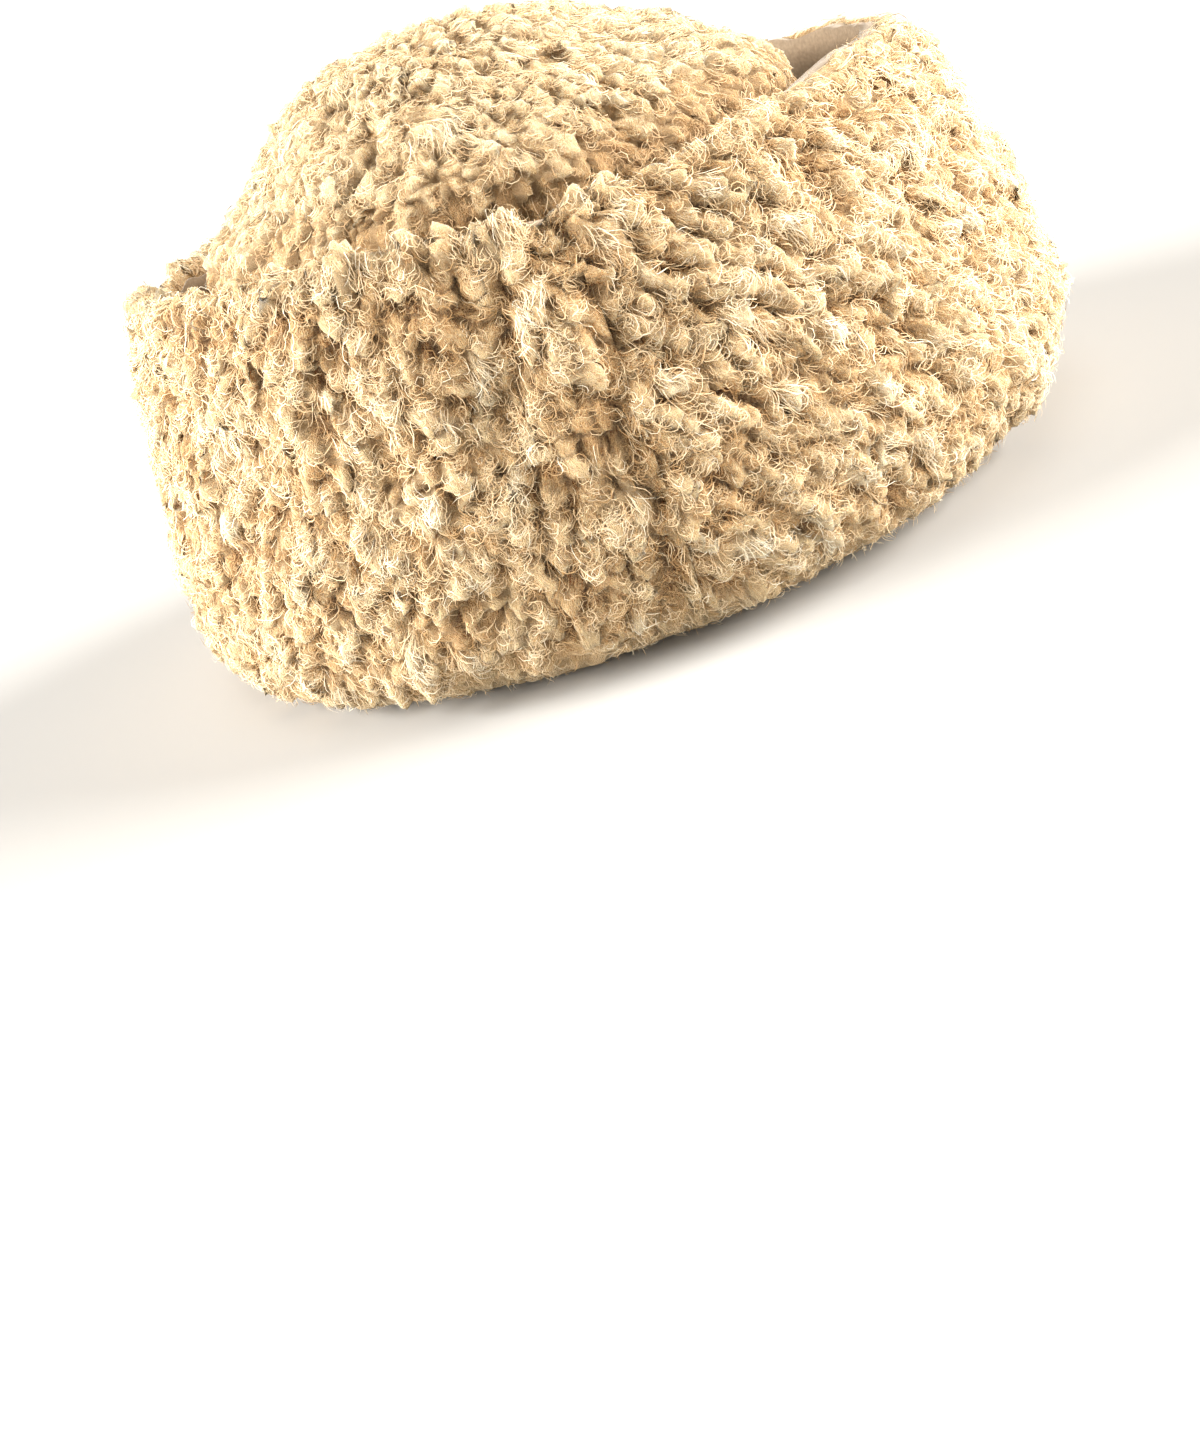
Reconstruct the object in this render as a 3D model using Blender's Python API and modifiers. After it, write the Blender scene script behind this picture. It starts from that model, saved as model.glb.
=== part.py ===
"""Pile hat: a dome crown, a wide turned-up cuff sewn from two halves, and the cuff's facing.

The hat stands on its lower edge on the plane z = 0. Its front is towards -Y and the wearer's
right side is towards -X. Every piece is a wall lofted through ovals. The pile's outer faces
follow the tips of the tufts, and tufts in staggered rows are raised on them.
"""

import math
from typing import NamedTuple

import bpy
from mathutils import Vector

# Overall sizes, in metres
LENGTH = 0.290  # front to back over the cuff where it is widest
WIDTH = 0.250  # side to side over the cuff
HEIGHT = 0.160  # lower edge to the top of the crown
CUFF_HEIGHT = 0.117  # lower edge to the cuff's rim

# The head goes in here
HEAD_LENGTH = 0.196
HEAD_WIDTH = 0.160
HEAD_SHIFT = 0.008  # the opening and the crown sit this far behind the middle of the cuff

# Walls, with the pile counted in
CROWN_WALL = 0.009
CUFF_WALL = 0.012
FACING_WALL = 0.003
SEAT_HEIGHT = 0.014  # thickness of the lower fold, on which the crown's edge is sewn
EDGE_ROUND = 0.005  # rounding of the lower fold at the head opening
SEWN_GAP = 0.0003  # clearance between pieces that are sewn together
ROUND_MIDDLE = 1 - math.sqrt(0.5)  # where a quarter round's middle lies, as a share of its radius

# Pile
TUFT_PITCH = 0.0072  # from one row of tufts to the next on the cuff
TUFT_DEPTH = 0.0030  # hollows between the tufts, below their tips
CROWN_TUFT_PITCH = 0.0095
CROWN_TUFT_DEPTH = 0.0028
HIDDEN_PITCH = 0.0240  # rows on the crown's wall, which the cuff covers
SEAM_DEPTH = 0.0045  # valley in the pile along each side seam of the cuff
SEAM_WIDTH = 0.0100
LOCK_OVERHANG = 0.50  # how far each tuft hangs over the hollow below it, in rows
TUFT_SCATTER = 0.28  # how far tips and hollows stray from their rows and columns
TIP_SPREAD = 0.30  # how far some tips fall short, as a share of the tufts' depth
HOLLOW_SPREAD = 0.35  # and how far some hollows do
ROWS_TO_FULL_TUFTS = 3  # the tufts grow over this many rows below the rim

# Points around the hat
CUFF_COLUMNS = 96
CROWN_COLUMNS = 62

# Outer face of the cuff, from the lower edge up to the rim
# height: share of CUFF_HEIGHT
# stand: 0 at the head opening, 1 where the cuff is widest
# shift: share of HEAD_SHIFT
CUFF_FACE = (
    # height, stand, shift
    (0.000, 0.450, 1.00),
    (0.022, 0.600, 0.88),
    (0.070, 0.775, 0.65),
    (0.150, 0.925, 0.30),
    (0.260, 1.000, 0.00),
    (0.360, 0.985, 0.00),
    (0.470, 0.935, 0.00),
    (0.570, 0.865, 0.05),
    (0.665, 0.790, 0.10),
    (0.760, 0.715, 0.15),
    (0.855, 0.635, 0.20),
    (0.940, 0.525, 0.30),
    (0.985, 0.450, 0.40),
    (1.000, 0.375, 0.50),
)

# Inner face of the cuff, below the rim
# height: share of CUFF_HEIGHT
# inset: from the outer face at that height, in walls of the cuff
CUFF_BACK_FACE = (
    # height, inset
    (0.980, 0.66),
    (0.930, 1.00),
    (0.620, 1.00),
    (0.300, 1.00),
)

# Lower end of the inner face, where it turns in over the fold
# height: share of the way from the fold's top up to the lowest row above
# inset: in walls of the cuff
CUFF_POCKET = (
    # height, inset
    (0.28, 1.15),
    (0.00, 1.80),
)

# How the rim rises and dips round the hat, alike on both sides
# turn: degrees from the middle of the front
# rise: share of CUFF_HEIGHT
RIM_LINE = (
    # turn, rise
    (0, 0.010),
    (40, 0.012),
    (62, 0.000),
    (80, -0.030),
    (100, -0.014),
    (122, 0.024),
    (150, 0.026),
    (180, 0.012),
)
RIM_LINE_FROM = 0.45  # the rise fades out from the rim down to this share of CUFF_HEIGHT

# Outer face of the crown, from its sewn edge to the top
# height: share of the way from the sewn edge to HEIGHT
# girth: share of the oval at the sewn edge
# shift: share of HEAD_SHIFT
CROWN_FACE = (
    # height, girth, shift
    (0.000, 1.000, 1.00),
    (0.040, 1.000, 1.00),
    (0.220, 0.985, 1.00),
    (0.400, 0.945, 1.00),
    (0.580, 0.885, 0.95),
    (0.705, 0.840, 0.90),
    (0.765, 0.785, 0.95),
    (0.815, 0.680, 1.10),
    (0.870, 0.560, 1.50),
    (0.920, 0.455, 1.85),
    (0.960, 0.335, 2.15),
    (0.988, 0.195, 2.25),
    (0.998, 0.075, 2.20),
)
CROWN_FULLNESS = 0.85  # under 1, the dome narrows later from side to side than lengthways
CROWN_PILE_FROM = 0.62  # tufts are raised above this share of the crown's height

CURVE_STEPS = 12  # points read between two rows of a table


class Oval(NamedTuple):
    """A level section: its height, its half axes, and how far its middle lies behind x = y = 0."""

    z: float
    half_length: float
    half_width: float
    shift: float

    def inset(self, by):
        return self._replace(half_length=self.half_length - by, half_width=self.half_width - by)

    def at(self, z):
        return self._replace(z=z)

    def point(self, turn):
        """The point at a turn from the middle of the front, towards the wearer's right."""
        return Vector((
            -self.half_width * math.sin(turn),
            self.shift - self.half_length * math.cos(turn),
            self.z,
        ))


def between(start, end, share):
    return start + (end - start) * share


def eased(share):
    """A share from 0 to 1 that starts and ends gently."""
    return share * share * (3 - 2 * share)


def smooth_curve(table):
    """Rows on a smooth curve through a table's rows."""
    last = len(table) - 1
    rows = []
    for k in range(last):
        before, start, end, after = (table[min(max(k + d, 0), last)] for d in (-1, 0, 1, 2))
        for step in range(CURVE_STEPS):
            t = step / CURVE_STEPS
            rows.append(tuple(
                0.5 * (2 * s + (e - b) * t + (2 * b - 5 * s + 4 * e - a) * t**2
                       + (3 * s - b - 3 * e + a) * t**3)
                for b, s, e, a in zip(before, start, end, after)
            ))
    rows.append(tuple(table[last]))
    return rows


def mix(a, b, share):
    return Oval(*(between(p, q, share) for p, q in zip(a, b)))


def evenly(ovals, pitch):
    """Ovals about one pitch apart, measured along the wall at the front."""
    run = [0.0]
    for a, b in zip(ovals, ovals[1:]):
        run.append(run[-1] + math.hypot(b.z - a.z, b.half_length - a.half_length))
    count = max(2, round(run[-1] / pitch))
    rows = []
    k = 0
    for n in range(count + 1):
        target = run[-1] * n / count
        while k < len(ovals) - 2 and run[k + 1] < target:
            k += 1
        rows.append(mix(ovals[k], ovals[k + 1], (target - run[k]) / (run[k + 1] - run[k])))
    return rows


def at_height(ovals, z):
    """The oval at a height, from ovals that rise all the way."""
    k = 0
    while k < len(ovals) - 2 and ovals[k + 1].z < z:
        k += 1
    return mix(ovals[k], ovals[k + 1], (z - ovals[k].z) / (ovals[k + 1].z - ovals[k].z))


HEAD = Oval(SEAT_HEIGHT, HEAD_LENGTH / 2, HEAD_WIDTH / 2, HEAD_SHIFT)
CUFF_CURVE = [
    Oval(
        height * CUFF_HEIGHT,
        between(HEAD_LENGTH, LENGTH, stand) / 2,
        between(HEAD_WIDTH, WIDTH, stand) / 2,
        shift * HEAD_SHIFT,
    )
    for height, stand, shift in smooth_curve(CUFF_FACE)
]


def rim_rise(turn):
    """How far the rim lies above CUFF_HEIGHT at a turn."""
    degrees = abs(math.degrees(math.remainder(turn, 2 * math.pi)))
    for (start, low), (end, high) in zip(RIM_LINE, RIM_LINE[1:]):
        if degrees <= end:
            return CUFF_HEIGHT * between(low, high, eased((degrees - start) / (end - start)))
    return CUFF_HEIGHT * RIM_LINE[-1][1]


def with_rim_line(point, turn):
    """A point of the cuff, lifted as the rim rises there."""
    share = (point.z / CUFF_HEIGHT - RIM_LINE_FROM) / (1 - RIM_LINE_FROM)
    point.z += rim_rise(turn) * eased(min(max(share, 0.0), 1.0))
    return point


def is_tip(row, column):
    return (row + column) % 2 == 0


def chance(row, column, draw):
    """A number from 0 to 1 that looks random and is the same on each run."""
    value = math.sin(row * 12.9 + column * 78.2 + draw * 37.7) * 437.5
    return value - math.floor(value)


def tuft_place(row, column):
    """Depth under the tips from 0 to 1, and shifts in rows and columns, of a point of the pile.

    Every second point is a tuft's tip. The others are the hollows, each drawn up under the
    tuft above it.
    """
    depth = chance(row, column, 0)
    up = 2 * chance(row, column, 1) - 1
    along = TUFT_SCATTER * (2 * chance(row, column, 2) - 1)
    if is_tip(row, column):
        return TIP_SPREAD * depth, TUFT_SCATTER * up, along
    return 1 - HOLLOW_SPREAD * depth, LOCK_OVERHANG + TUFT_SCATTER * up / 2, along


def between_rows(rows, place):
    """The oval at a place counted in rows."""
    k = min(max(math.floor(place), 0), len(rows) - 2)
    return mix(rows[k], rows[k + 1], place - k)


def inner_ovals(clearance):
    """The cuff's inner face from under the rim down to the fold, moved in by a clearance."""
    ovals = []
    for height, inset in CUFF_BACK_FACE:
        outer = at_height(CUFF_CURVE, height * CUFF_HEIGHT)
        ovals.append(outer.inset(inset * CUFF_WALL + clearance))
    lowest = ovals[-1].z
    for height, inset in CUFF_POCKET:
        outer = at_height(CUFF_CURVE, between(SEAT_HEIGHT, lowest, height))
        ovals.append(outer.inset(inset * CUFF_WALL + clearance).at(outer.z + clearance))
    return ovals


def mesh_object(name, points, faces, material, collection):
    mesh = bpy.data.meshes.new(name)
    mesh.from_pydata(points, [], faces)
    mesh.materials.append(material)
    mesh.shade_smooth()
    item = bpy.data.objects.new(name, mesh)
    collection.objects.link(item)
    return item


def loft_faces(rows, columns, row_loop, column_loop):
    """Triangles between neighbouring rows of points, each row listed after the one before.

    A square is cut between its two hollows, so that each tip stands up as a tuft of its own.
    """
    faces = []
    for r in range(rows if row_loop else rows - 1):
        for c in range(columns if column_loop else columns - 1):
            r2, c2 = (r + 1) % rows, (c + 1) % columns
            a, b = r * columns + c, r2 * columns + c
            d, e = r2 * columns + c2, r * columns + c2
            faces += [(a, b, e), (b, d, e)] if is_tip(r, c) else [(a, b, d), (a, d, e)]
    return faces


def thicken(item, wall, side):
    """A wall on one side of an open surface: 1 where its normals point, -1 behind them."""
    cloth = item.modifiers.new("cloth", "SOLIDIFY")
    cloth.thickness = wall
    cloth.offset = side
    cloth.use_even_offset = True


def apply_modifiers(item):
    """The object's evaluated mesh in place of its modifiers."""
    shaped = item.evaluated_get(bpy.context.evaluated_depsgraph_get())
    mesh = bpy.data.meshes.new_from_object(shaped)
    item.modifiers.clear()
    item.data = mesh


def seam_turn(oval, y):
    """The turn, short of half a circle, at which an oval crosses a level of y."""
    return math.acos((oval.shift - y) / oval.half_length)


def cuff_half(name, is_front, material, collection):
    """Half of the cuff, from one side seam to the other: a thick wall with its fold below."""
    fold = [
        HEAD,
        HEAD.at(EDGE_ROUND),
        HEAD.inset(-ROUND_MIDDLE * EDGE_ROUND).at(ROUND_MIDDLE * EDGE_ROUND),
        HEAD.inset(-EDGE_ROUND).at(0.0),
    ]
    face = evenly(CUFF_CURVE, TUFT_PITCH)
    rows = fold + face + inner_ovals(0.0)
    rim_row = len(fold) + len(face) - 1

    columns = CUFF_COLUMNS // 2
    points = []
    for r, oval in enumerate(rows):
        for c in range(columns + 1):
            inset, wall, column = 0.0, oval, c
            if len(fold) < r < rim_row:
                to_seam = min(c, columns - c) * math.pi / columns * oval.half_length
                inset = SEAM_DEPTH * math.exp(-(to_seam / SEAM_WIDTH) ** 2)
                if 0 < c < columns:
                    near_rim = min(1.0, (rim_row - r) / ROWS_TO_FULL_TUFTS)
                    depth, up, along = tuft_place(r, c)
                    inset += TUFT_DEPTH * depth * near_rim
                    wall = between_rows(rows, r + up * near_rim)
                    column = c + along
            wall = wall.inset(inset)
            if is_front:
                end = seam_turn(wall, -SEWN_GAP / 2)
                turn = between(-end, end, column / columns)
            else:
                start = seam_turn(wall, SEWN_GAP / 2)
                turn = between(start, 2 * math.pi - start, column / columns)
            points.append(with_rim_line(wall.point(turn), turn))

    faces = loft_faces(len(rows), columns + 1, True, False)
    first = [r * (columns + 1) for r in range(len(rows))]
    last = [r * (columns + 1) + columns for r in range(len(rows))]
    faces += [tuple(reversed(first)), tuple(last)]
    return mesh_object(name, points, faces, material, collection)


def facing(material, collection):
    """The smooth cloth on the cuff's inner face, sewn in where cuff and crown meet."""
    rows = inner_ovals(SEWN_GAP)[1:]
    crown_edge = HEAD.inset(-CROWN_WALL - SEWN_GAP).at(rows[-1].z)
    rows += [mix(rows[-1], crown_edge, 0.5), crown_edge]
    turns = [2 * math.pi * c / CUFF_COLUMNS for c in range(CUFF_COLUMNS)]
    points = [with_rim_line(oval.point(turn), turn) for oval in rows for turn in turns]
    item = mesh_object(
        "cuff_facing", points, loft_faces(len(rows), CUFF_COLUMNS, False, True), material, collection
    )
    thicken(item, FACING_WALL, 1.0)
    return item


def crown(material, collection):
    """The dome, a wall of even thickness that is open below."""
    base = HEAD.inset(-CROWN_WALL)
    foot = SEAT_HEIGHT + SEWN_GAP
    curve = [
        Oval(
            between(foot, HEIGHT, height),
            base.half_length * girth,
            base.half_width * girth**CROWN_FULLNESS,
            shift * HEAD_SHIFT,
        )
        for height, girth, shift in smooth_curve(CROWN_FACE)
    ]
    pile_from = between(foot, HEIGHT, CROWN_PILE_FROM)
    dome = [oval for oval in curve if oval.z >= pile_from]
    wall = [oval for oval in curve[CURVE_STEPS:] if oval.z <= dome[0].z]
    rows = curve[:1] + evenly(wall, HIDDEN_PITCH) + evenly(dome, CROWN_TUFT_PITCH)[1:]
    turns = [2 * math.pi * c / CROWN_COLUMNS for c in range(CROWN_COLUMNS)]
    points = [oval.point(turn) for oval in rows for turn in turns]
    faces = loft_faces(len(rows), CROWN_COLUMNS, False, True)
    ring = (len(rows) - 1) * CROWN_COLUMNS
    faces.append(tuple(ring + c for c in reversed(range(CROWN_COLUMNS))))
    item = mesh_object("crown", points, faces, material, collection)
    thicken(item, CROWN_WALL, -1.0)
    apply_modifiers(item)

    for r, oval in enumerate(rows[:-1]):
        if oval.z < pile_from:
            continue
        room = 2 * math.pi * oval.half_width / CROWN_COLUMNS / CROWN_TUFT_PITCH
        for c in range(CROWN_COLUMNS):
            depth, up, along = tuft_place(r, c)
            point = item.data.vertices[r * CROWN_COLUMNS + c]
            normal = point.normal.copy()
            place = between_rows(rows, r + up).point(2 * math.pi * (c + along) / CROWN_COLUMNS)
            point.co = place - normal * CROWN_TUFT_DEPTH * depth * min(1.0, room)
    return item


def cloth_material(name, colour, roughness):
    material = bpy.data.materials.new(name)
    material.use_nodes = True
    shader = material.node_tree.nodes["Principled BSDF"]
    shader.inputs["Base Color"].default_value = (*colour, 1.0)
    shader.inputs["Roughness"].default_value = roughness
    shader.inputs["Metallic"].default_value = 0.0
    return material


def main():
    for item in list(bpy.data.objects):
        bpy.data.objects.remove(item, do_unlink=True)
    hat = bpy.data.collections.new("pile_hat")
    bpy.context.scene.collection.children.link(hat)
    crown(cloth_material("crown_pile", (0.74, 0.57, 0.34), 0.95), hat)
    cuff_half("cuff_front", True, cloth_material("front_pile", (0.80, 0.64, 0.40), 0.95), hat)
    cuff_half("cuff_back", False, cloth_material("back_pile", (0.76, 0.59, 0.36), 0.95), hat)
    facing(cloth_material("facing_cloth", (0.51, 0.41, 0.31), 0.90), hat)


main()
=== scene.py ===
# %% [markdown]
# # A pile hat with a turned-up cuff
#
# The hat is a dome of curly pile cloth with a wide, thick cuff turned up round it. A seam at each
# side joins the front half of the cuff to the rear half, and a smooth cloth faces the cuff inside.
#
# Pile cloth is a knitted backing with wool-like fibres standing on it. The fibres gather in small
# locks that lean one way and lie over each other like shingles. This lesson makes them in three
# layers: a dense surface raised into locks, curly fibres that lie over it, and loose wisps.

# %% Load the frame
import math

import bpy
import numpy as np
from mathutils import Matrix, Vector, kdtree


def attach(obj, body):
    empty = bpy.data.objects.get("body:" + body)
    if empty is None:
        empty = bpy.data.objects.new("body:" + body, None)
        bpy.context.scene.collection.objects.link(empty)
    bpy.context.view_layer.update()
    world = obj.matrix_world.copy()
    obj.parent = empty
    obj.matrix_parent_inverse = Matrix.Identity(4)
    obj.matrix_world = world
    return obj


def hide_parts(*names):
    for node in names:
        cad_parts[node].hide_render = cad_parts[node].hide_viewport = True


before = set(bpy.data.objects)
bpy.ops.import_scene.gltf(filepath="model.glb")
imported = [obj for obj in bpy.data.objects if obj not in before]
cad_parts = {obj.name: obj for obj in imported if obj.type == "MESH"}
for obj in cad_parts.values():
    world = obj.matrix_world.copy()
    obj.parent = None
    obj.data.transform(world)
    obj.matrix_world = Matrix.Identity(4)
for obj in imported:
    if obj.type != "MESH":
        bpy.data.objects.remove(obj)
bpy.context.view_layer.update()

# %% [markdown]
# ## Camera
#
# The photograph was taken from close by, so near parts look much larger than far ones. A camera's
# place and its lens are best fitted together, to points of known size. Here the result of such a
# fit is written down: where the camera is, which way its three axes point, and its focal length
# in pixels of the photograph.

# %% Camera
PHOTO_HEIGHT = 1434
FOCAL_PIXELS = 1399.4
SENSOR = 36.0
CAMERA_PLACE = Vector((-0.4454, 0.0263, 0.1579))
CAMERA_RIGHT = Vector((-0.1402, -0.9349, -0.3260))
CAMERA_UP = Vector((0.4275, -0.3541, 0.8318))

back = CAMERA_RIGHT.cross(CAMERA_UP).normalized()
up = back.cross(CAMERA_RIGHT).normalized()
axes = Matrix((up.cross(back), up, back)).transposed()

lens = bpy.data.cameras.new("camera")
lens.sensor_width = SENSOR
lens.lens = SENSOR * FOCAL_PIXELS / PHOTO_HEIGHT
camera = bpy.data.objects.new("camera", lens)
camera.matrix_world = Matrix.Translation(CAMERA_PLACE) @ axes.to_4x4()
bpy.context.scene.collection.objects.link(camera)
bpy.context.scene.camera = camera
print("camera lens in mm:", round(lens.lens, 2))

# %% [markdown]
# ## Shader maths as Python
#
# Node trees get hard to read when each sum is a node placed by hand. This class wraps a node's
# socket, so that an expression such as `1 - mask * 0.5` adds the Math nodes itself. Colours are
# mixed with a Mix node, because a Math node would turn them grey.

# %% Shader expressions
class Value:
    """A socket in a material's node tree."""

    def __init__(self, tree, socket):
        self.tree = tree
        self.socket = socket

    def math(self, operation, *others):
        return add_node(self.tree, "ShaderNodeMath", {"operation": operation}, [self, *others])

    def __add__(self, other):
        return self.math("ADD", other)

    def __mul__(self, other):
        return self.math("MULTIPLY", other)

    def __sub__(self, other):
        return self.math("SUBTRACT", other)

    def __rsub__(self, other):
        return add_node(self.tree, "ShaderNodeMath", {"operation": "SUBTRACT"}, [other, self])

    __radd__ = __add__
    __rmul__ = __mul__

    def ramp(self, start, end):
        """0 below start, 1 above end and smooth between them."""
        settings = {"interpolation_type": "SMOOTHSTEP"}
        return add_node(self.tree, "ShaderNodeMapRange", settings, [self, start, end])

    def mix(self, dark, light):
        """A colour from dark where this value is 0 to light where it is 1."""
        settings = {"data_type": "RGBA", "clamp_factor": True}
        return add_node(self.tree, "ShaderNodeMix", settings, {0: self, 6: dark, 7: light}, 2)


def add_node(tree, kind, settings, inputs, output=0):
    """A node with its settings made first, then the values or links of its sockets."""
    node = tree.nodes.new(kind)
    for name, value in settings.items():
        setattr(node, name, value)
    pairs = inputs.items() if isinstance(inputs, dict) else enumerate(inputs)
    for key, value in pairs:
        if isinstance(value, Value):
            tree.links.new(value.socket, node.inputs[key])
        elif hasattr(value, "__len__") and len(value) == 3 and node.inputs[key].type == "RGBA":
            node.inputs[key].default_value = (*value, 1.0)
        else:
            node.inputs[key].default_value = value
    return Value(tree, node.outputs[output])


def attribute(tree, name, output="Fac"):
    """A number or a vector kept on each point of a mesh."""
    return add_node(tree, "ShaderNodeAttribute", {"attribute_name": name}, {}, output)


def noise(tree, size, detail=2.0, warp=0.0, place=None):
    """Cloudy values from 0 to 1 with blobs of about that size in metres."""
    place = place or add_node(tree, "ShaderNodeTexCoord", {}, {}, "Object")
    inputs = {"Vector": place, "Scale": 1 / size, "Detail": detail, "Distortion": warp}
    return add_node(tree, "ShaderNodeTexNoise", {}, inputs, "Fac")


def new_material(name, roughness, **constants):
    """A material, its tree and its shader, with values that are the same all over."""
    material = bpy.data.materials.new(name)
    material.use_nodes = True
    shader = material.node_tree.nodes["Principled BSDF"]
    shader.inputs["Roughness"].default_value = roughness
    for socket, value in constants.items():
        shader.inputs[socket.replace("_", " ")].default_value = value
    return material, material.node_tree, shader


def feed(shader, socket, value):
    value.tree.links.new(value.socket, shader.inputs[socket])


# %% [markdown]
# ## Colours of the pile
#
# Cream wool scatters light from fibre to fibre, so the shade in its hollows is not grey but a warm
# brown, and that shade is painted into the colour. Every mesh of pile carries a number, `tip`,
# that is 0 in the hollows and 1 on top of the locks. The material reads it and goes from brown
# over tan to cream, which is painted shade in the hollows. A few locks also get a painted
# highlight, near-white on their tops. Thin curly lines come from noise: where the noise passes
# its middle value it draws loops, which look like tangled fibres.

# %% Pile materials
# painted shade: the colour of the pile deep in its hollows
HOLLOW_SHADE = (0.160, 0.064, 0.022)
TAN = (0.560, 0.335, 0.150)
CREAM = (0.880, 0.680, 0.420)
# painted highlight: the near-white of lock tops that catch the light
PAINTED_HIGHLIGHT = (0.960, 0.900, 0.730)
WARM = (1.0, 0.82, 0.56, 1.0)
LINE_SIZES = (0.0008, 0.0016)
STRAND_SIZE = 0.0007


def curly_lines(tree, size):
    """1 on thin loops, where a noise passes its middle value."""
    away = (noise(tree, size, 1.0, 0.6) - 0.5).math("ABSOLUTE")
    return 1 - away.ramp(0.012, 0.085)


def strands(tree, size):
    """1 on thin wavy lines that run along each lock."""
    place = attribute(tree, "strand", "Vector")
    away = (noise(tree, size, 2.0, 0.9, place) - 0.5).math("ABSOLUTE")
    return 1 - away.ramp(0.01, 0.11)


def pile_material(name, hollow, tan, cream):
    material, tree, shader = new_material(
        name, 0.90, Sheen_Weight=0.25, Sheen_Roughness=0.45, Sheen_Tint=WARM,
        Specular_IOR_Level=0.1,
        Subsurface_Weight=0.5, Subsurface_Radius=(1.0, 1.0, 1.0), Subsurface_Scale=0.003
    )
    lines = curly_lines(tree, LINE_SIZES[0])
    for size in LINE_SIZES[1:]:
        lines = lines.math("MAXIMUM", curly_lines(tree, size))
    lines = lines * 0.6 + strands(tree, STRAND_SIZE) * 0.6
    clouds = noise(tree, 0.012, 3.0)
    # painted shade: the colour runs from brown in the hollows over tan to cream on top of the
    # locks
    height = attribute(tree, "tip") + (clouds - 0.5) * 0.30 + (lines - 0.5) * 0.42
    colour = height.ramp(-0.15, 0.30).mix(hollow, tan)
    colour = height.ramp(0.15, 0.90).mix(colour, cream)
    # painted highlight: a few locks go near-white towards their tops
    colour = (attribute(tree, "glint") * height.ramp(0.3, 1.1) * 0.25).mix(colour, PAINTED_HIGHLIGHT)
    feed(shader, "Base Color", colour)
    bump = {"Strength": 1.0, "Distance": 0.0009, "Height": lines}
    feed(shader, "Normal", add_node(tree, "ShaderNodeBump", {}, bump))
    return material


def fibre_material(name, dark, light):
    """Fibres that are modelled: each has a shade of its own, darker where it starts low as painted
    shade over the hollows, and its lightest shades turn into a painted highlight.
    """
    material, tree, shader = new_material(
        name, 0.60, Sheen_Weight=0.25, Sheen_Roughness=0.4, Sheen_Tint=WARM,
        Specular_IOR_Level=0.2
    )
    shade = attribute(tree, "shade")
    colour = shade.ramp(0.0, 0.55).mix(dark, light)
    feed(shader, "Base Color", shade.ramp(0.50, 1.1).mix(colour, PAINTED_HIGHLIGHT))
    return material


CROWN_CREAM = (0.870, 0.705, 0.465)
cuff_cloth = pile_material("cuff_pile", HOLLOW_SHADE, TAN, (0.740, 0.545, 0.315))
crown_cloth = pile_material(
    "crown_pile", (0.53, 0.33, 0.16), (0.74, 0.54, 0.31), (0.86, 0.69, 0.45)
)
cuff_fibre = fibre_material("cuff_fibre", (0.52, 0.31, 0.135), CREAM)
crown_fibre = fibre_material("crown_fibre", (0.64, 0.43, 0.23), CROWN_CREAM)
print("pile materials:", cuff_cloth.name, crown_cloth.name, cuff_fibre.name, crown_fibre.name)

# %% [markdown]
# ## The hat as ovals
#
# Each piece is a wall lofted through level ovals. A table gives the outline in shares of the main
# sizes, and a smooth curve through its rows gives as many ovals as the surface needs.

# %% Sizes and tables
LENGTH, WIDTH, HEIGHT, CUFF_HEIGHT = 0.290, 0.250, 0.160, 0.117
HEAD_LENGTH, HEAD_WIDTH, HEAD_SHIFT = 0.196, 0.160, 0.008
CROWN_WALL, CUFF_WALL, FACING_WALL = 0.009, 0.012, 0.003
SEAT_HEIGHT, EDGE_ROUND, SEWN_GAP = 0.014, 0.005, 0.0003

# height in shares of CUFF_HEIGHT, stand from the head opening to the widest line, shift
CUFF_FACE = (
    (0.000, 0.450, 1.00), (0.022, 0.600, 0.88), (0.070, 0.775, 0.65), (0.150, 0.925, 0.30),
    (0.260, 1.000, 0.00), (0.360, 0.985, 0.00), (0.470, 0.935, 0.00), (0.570, 0.865, 0.05),
    (0.665, 0.790, 0.10), (0.760, 0.715, 0.15), (0.855, 0.635, 0.20), (0.940, 0.525, 0.30),
    (0.985, 0.450, 0.40), (1.000, 0.375, 0.50),
)
# height in shares of CUFF_HEIGHT, inset in walls of the cuff
CUFF_BACK_FACE = ((0.980, 0.66), (0.930, 1.00), (0.620, 1.00), (0.300, 1.00))
CUFF_POCKET = ((0.28, 1.15), (0.00, 1.80))
# turn in degrees from the middle of the front, rise in shares of CUFF_HEIGHT
RIM_LINE = (
    (0, 0.010), (40, 0.012), (62, 0.000), (80, -0.030), (100, -0.014), (122, 0.024),
    (150, 0.026), (180, 0.012),
)
RIM_LINE_FROM = 0.45
# height in shares of the way up, girth in shares of the sewn edge, shift
CROWN_FACE = (
    (0.000, 1.000, 1.00), (0.040, 1.000, 1.00), (0.220, 0.985, 1.00), (0.400, 0.945, 1.00),
    (0.580, 0.885, 0.95), (0.705, 0.840, 0.90), (0.765, 0.785, 0.95), (0.815, 0.680, 1.10),
    (0.870, 0.560, 1.50), (0.920, 0.455, 1.85), (0.960, 0.335, 2.15), (0.988, 0.195, 2.25),
    (0.998, 0.075, 2.20),
)
CROWN_FULLNESS = 0.85


# %% Ovals
CURVE_STEPS = 24


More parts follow.
